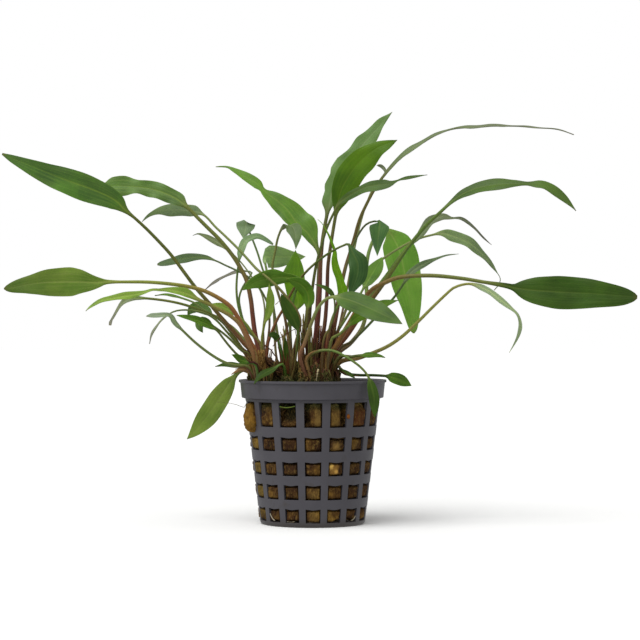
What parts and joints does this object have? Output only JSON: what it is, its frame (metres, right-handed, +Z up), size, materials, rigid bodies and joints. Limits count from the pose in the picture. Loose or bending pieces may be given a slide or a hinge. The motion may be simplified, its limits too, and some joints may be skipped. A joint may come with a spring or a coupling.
{
  "type": "potted aquarium plant",
  "caption": "Potted aquarium plant: long narrow pointed leaves on thin arching stalks, growing from a rock wool plug in a tapered plastic net pot.",
  "frame": {"origin": "centre of the net pot's underside, on the surface that the pot stands on", "axes": "+Z up along the pot's axis; +X to the right and -Y towards the viewer of the picture; the leaves spread mostly along X"},
  "size_m": [0.2086, 0.0904, 0.1399],
  "materials": {
    "pot_plastic": "smooth moulded polypropylene, soft sheen",
    "rock_wool": "matt mineral fibre with moss",
    "crown_fibre": "matt root and sheath fibre",
    "leaf_dark": "satin leaf skin, dark green",
    "leaf_green": "satin leaf skin, mid green",
    "leaf_light": "satin leaf skin, light green",
    "leaf_bright": "satin leaf skin, yellow-green",
    "leaf_grey": "satin leaf skin, grey-green",
    "leaf_blue": "satin leaf skin, blue-green"
  },
  "bodies": {
    "root": {"net_pot": "pot_plastic", "rock_wool_plug": "rock_wool", "crown_left": "crown_fibre", "crown_middle": "crown_fibre", "crown_central": "crown_fibre", "leaf_left_long_dark": "leaf_dark", "leaf_left_wavy": "leaf_green", "leaf_left_big_light": "leaf_light", "leaf_left_narrow_light": "leaf_light", "leaf_left_drooping_tip": "leaf_green", "leaf_left_thin_dark": "leaf_green", "leaf_left_stub": "leaf_green", "leaf_left_grey": "leaf_grey", "leaf_left_hook": "leaf_grey", "leaf_left_low_dark": "leaf_dark", "leaf_left_low_hanging": "leaf_dark", "leaf_left_inner_bright": "leaf_light", "leaf_left_over_rim": "leaf_light", "leaf_left_rim_dark": "leaf_dark", "leaf_left_rim_short": "leaf_dark", "leaf_left_arched_grey": "leaf_grey", "leaf_left_folded_tall": "leaf_grey", "leaf_left_thread": "leaf_grey", "leaf_left_dark_arrow": "leaf_green", "leaf_left_upright": "leaf_light", "leaf_middle_hanging_triangle": "leaf_grey", "leaf_middle_long_green": "leaf_grey", "leaf_middle_broad": "leaf_grey", "leaf_middle_olive": "leaf_bright", "leaf_middle_hanging_grey": "leaf_grey", "leaf_middle_forward": "leaf_blue", "leaf_middle_dark_spread": "leaf_green", "leaf_middle_small_dark": "leaf_dark", "leaf_middle_foreshortened": "leaf_dark", "leaf_middle_leaning_dark": "leaf_dark", "leaf_middle_over_rim": "leaf_dark", "leaf_centre_dark_arch": "leaf_dark", "leaf_centre_big_folded": "leaf_green", "leaf_centre_top_wavy": "leaf_grey", "leaf_centre_top_bright": "leaf_bright", "leaf_centre_narrow": "leaf_green", "leaf_centre_high_arch": "leaf_grey", "leaf_centre_curl": "leaf_grey", "leaf_centre_upright": "leaf_bright", "leaf_centre_folded_dark": "leaf_blue", "leaf_centre_big_hanging": "leaf_light", "leaf_centre_round": "leaf_green", "leaf_centre_thread_tip": "leaf_grey", "leaf_centre_long_arch": "leaf_green", "leaf_centre_under_arch": "leaf_grey", "leaf_centre_dark_side": "leaf_grey", "leaf_centre_big_right": "leaf_dark", "leaf_centre_low_right": "leaf_grey", "leaf_centre_front": "leaf_green", "leaf_centre_behind_front": "leaf_bright", "leaf_centre_tiny_dark": "leaf_green", "leaf_centre_arch_over_rim": "leaf_dark", "leaf_centre_low_side": "leaf_dark", "leaf_centre_low_small": "leaf_dark", "leaf_centre_side_small": "leaf_dark"}
  },
  "joints": []
}
